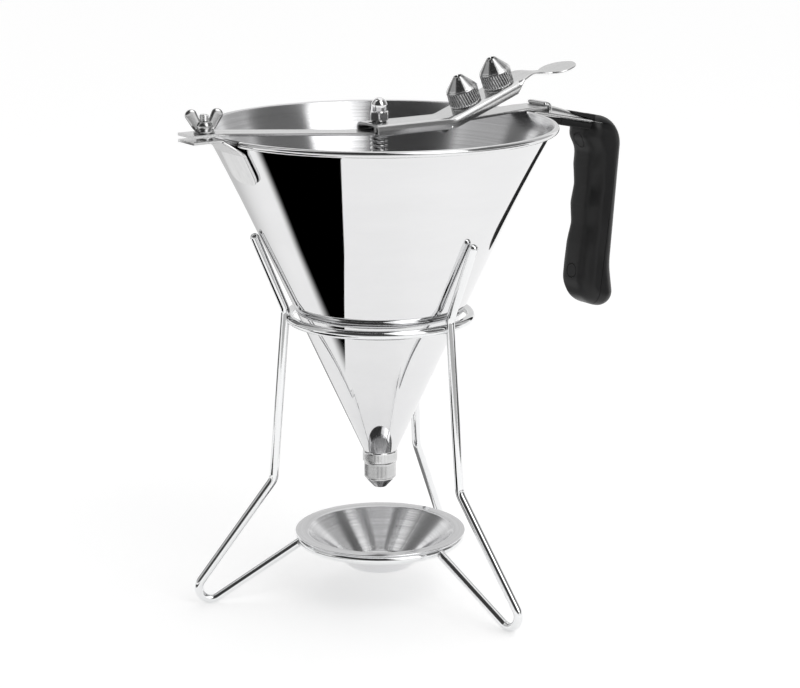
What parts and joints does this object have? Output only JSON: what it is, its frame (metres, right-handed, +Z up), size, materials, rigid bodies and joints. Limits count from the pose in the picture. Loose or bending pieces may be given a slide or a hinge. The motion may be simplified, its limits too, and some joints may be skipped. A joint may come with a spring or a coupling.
{
  "type": "confectionery funnel",
  "caption": "Hand-held confectionery funnel: conical hopper, side grip and thumb lever lifting a sprung needle valve, resting in a bent-wire stand above a drip bowl.",
  "frame": {"origin": "on the table, below the axis of the nozzle", "axes": "+Z up along the hopper's axis, +X along the cross bar to the grip, +Y across the lever"},
  "size_m": [0.2734, 0.1955, 0.2858],
  "materials": {
    "hopper_steel": "mirror polish outside, brushed round inside",
    "bowl_steel": "polished",
    "stand_wire": "bright",
    "strip_steel": "satin",
    "fittings": "bright",
    "nozzle_steel": "turned",
    "spring_steel": "bright wire",
    "grip_plastic": "fine matte"
  },
  "bodies": {
    "stand": {"leg_left": "stand_wire", "leg_right": "stand_wire", "leg_rear": "stand_wire", "support_ring": "stand_wire", "base_ring": "stand_wire"},
    "drip_bowl": {"drip_bowl": "bowl_steel"},
    "funnel": {"hopper": "hopper_steel", "spout": "fittings", "front_bracket": "strip_steel", "bracket_stud": "fittings", "cross_bar": "strip_steel", "pivot_lug": "strip_steel", "handle_bracket": "strip_steel", "grip_inner": "grip_plastic", "grip_outer": "grip_plastic", "grip_screws": "fittings", "grip_plugs": "grip_plastic"},
    "wing_nut": {"wing_nut": "fittings"},
    "nozzle": {"nozzle": "nozzle_steel"},
    "lever": {"lever": "strip_steel", "pivot_pin": "fittings", "nozzle_peg_a": "fittings", "nozzle_peg_b": "fittings"},
    "spare_nozzle_a": {"spare_nozzle_a": "nozzle_steel"},
    "spare_nozzle_b": {"spare_nozzle_b": "nozzle_steel"},
    "rod": {"valve_rod": "fittings", "acorn_nut": "fittings", "spring": "spring_steel", "spring_collar": "fittings"}
  },
  "joints": [
    {"name": "funnel_lift", "type": "slide", "parent": "stand", "child": "funnel", "axis": [0, 0, 1], "range_m": [0, 0.15]},
    {"name": "drip_bowl_lift", "type": "slide", "parent": "stand", "child": "drip_bowl", "axis": [0, 0, 1], "range_m": [0, 0.03]},
    {"name": "lever_pivot", "type": "hinge", "parent": "funnel", "child": "lever", "pos_m": [0.04, 0, 0.25128], "axis": [0, 1, 0], "range_deg": [0, 12]},
    {"name": "rod_slide", "type": "slide", "parent": "funnel", "child": "rod", "axis": [0, 0, 1], "range_m": [0, 0.0098], "stiffness_N_per_m": 500, "springref_m": -0.012, "deforming": ["spring"]},
    {"name": "nozzle_turn", "type": "hinge", "parent": "funnel", "child": "nozzle", "pos_m": [0, 0, 0.07], "axis": [0, 0, 1], "continuous": true},
    {"name": "wing_nut_turn", "type": "hinge", "parent": "funnel", "child": "wing_nut", "pos_m": [-0.105, 0, 0.26], "axis": [0, 0, 1], "continuous": true},
    {"name": "spare_nozzle_a_turn", "type": "hinge", "parent": "lever", "child": "spare_nozzle_a", "pos_m": [0.05591, 0, 0.26211], "axis": [-0.342, 0, 0.9397], "continuous": true},
    {"name": "spare_nozzle_b_turn", "type": "hinge", "parent": "lever", "child": "spare_nozzle_b", "pos_m": [0.07781, 0, 0.27008], "axis": [-0.342, 0, 0.9397], "continuous": true}
  ],
  "couplings": [
    {"joint": "rod_slide", "follows": "lever_pivot", "m_per_rad": 0.0456}
  ]
}
